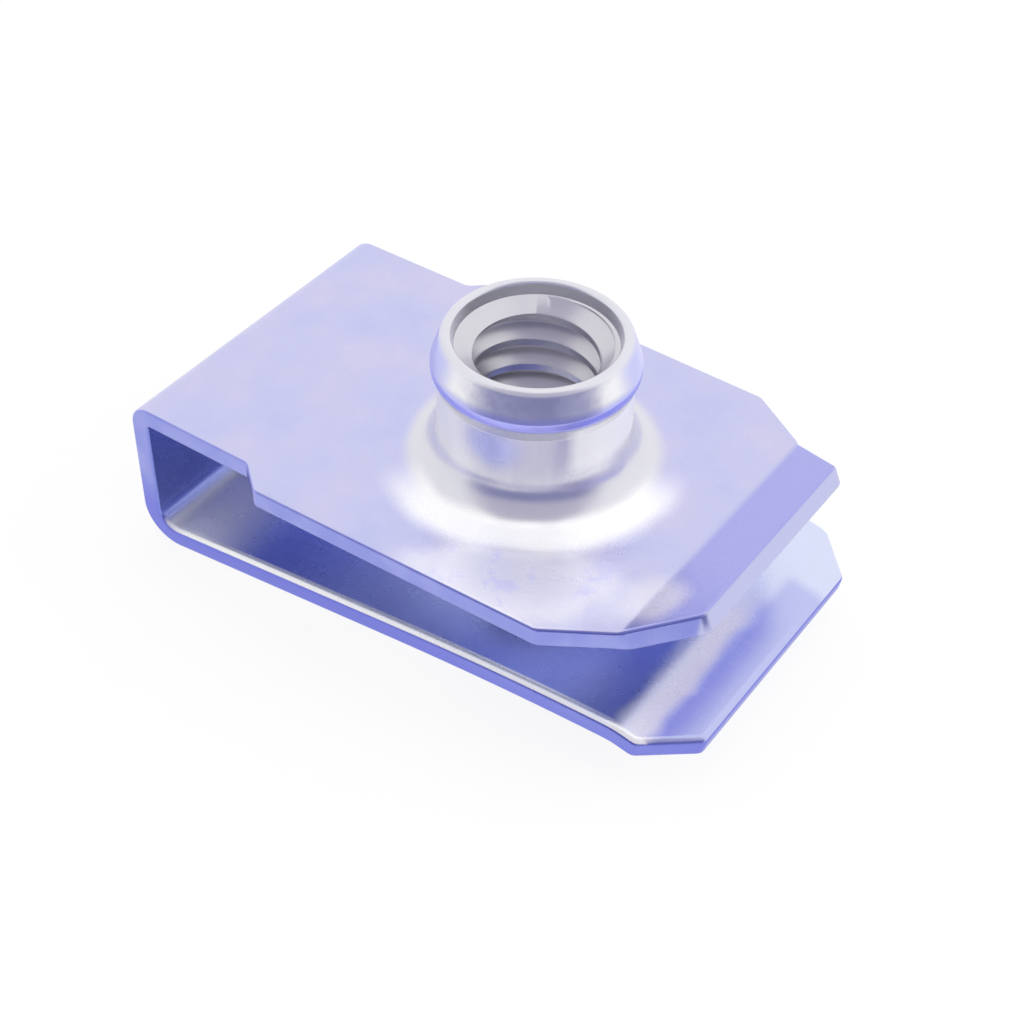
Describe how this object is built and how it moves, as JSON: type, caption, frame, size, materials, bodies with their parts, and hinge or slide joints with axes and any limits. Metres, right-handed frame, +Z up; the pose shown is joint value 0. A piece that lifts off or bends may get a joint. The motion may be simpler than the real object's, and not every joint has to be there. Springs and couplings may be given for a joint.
{
  "type": "u clip nut",
  "caption": "Folded sheet-steel U clip with a drawn threaded collar, a stepped nut leg with a lead-in lip, and a spring leg.",
  "frame": {"origin": "on the screw axis, at the nut leg's upper face", "axes": "+X towards the mouth of the clip, +Z up the collar, Y across the sheet"},
  "size_m": [0.0271, 0.0172, 0.013],
  "materials": {
    "zinc_steel": "bright blue zinc plating"
  },
  "bodies": {
    "root": {"clip": "zinc_steel"}
  },
  "joints": []
}
